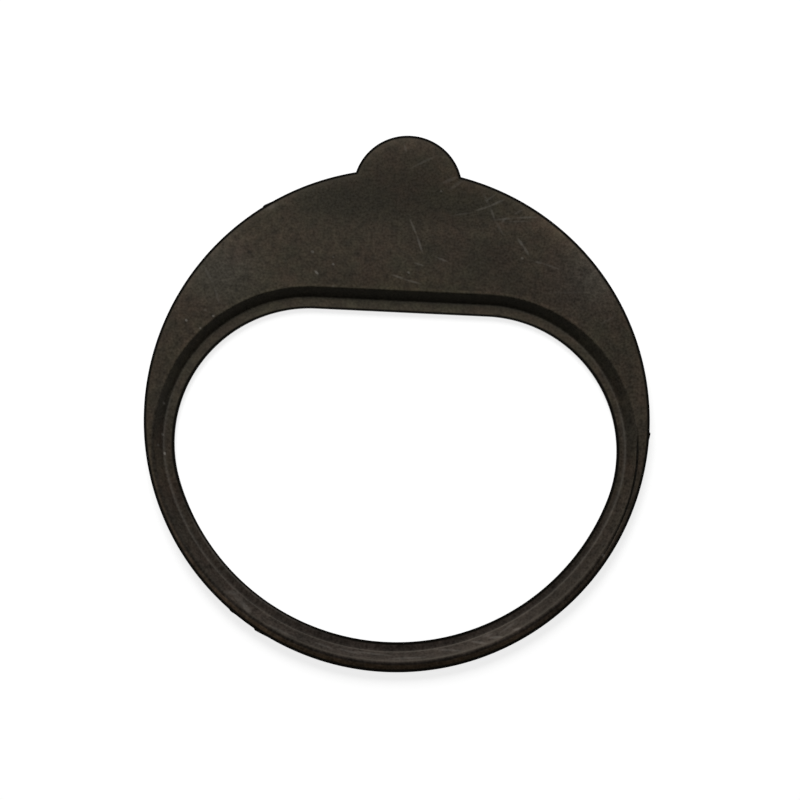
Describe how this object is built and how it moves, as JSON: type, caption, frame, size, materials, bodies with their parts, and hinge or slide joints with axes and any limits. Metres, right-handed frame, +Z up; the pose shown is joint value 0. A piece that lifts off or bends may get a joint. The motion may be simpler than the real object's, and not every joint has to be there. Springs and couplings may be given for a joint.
{
  "type": "exhaust gasket",
  "caption": "Flat round rubber gasket with a pull tab and an off-centre duct opening, edged by a thin recessed lip.",
  "frame": {"origin": "centre of the round rim, on the underside, inside the duct opening", "axes": "+Z up out of the plate's face, +Y from the rim's centre to the pull tab, +X to the right as seen from above with the tab at the back"},
  "size_m": [0.1002, 0.1068, 0.003],
  "materials": {
    "gasket_rubber": "matt dark grey moulded rubber"
  },
  "bodies": {
    "root": {"gasket": "gasket_rubber"}
  },
  "joints": []
}
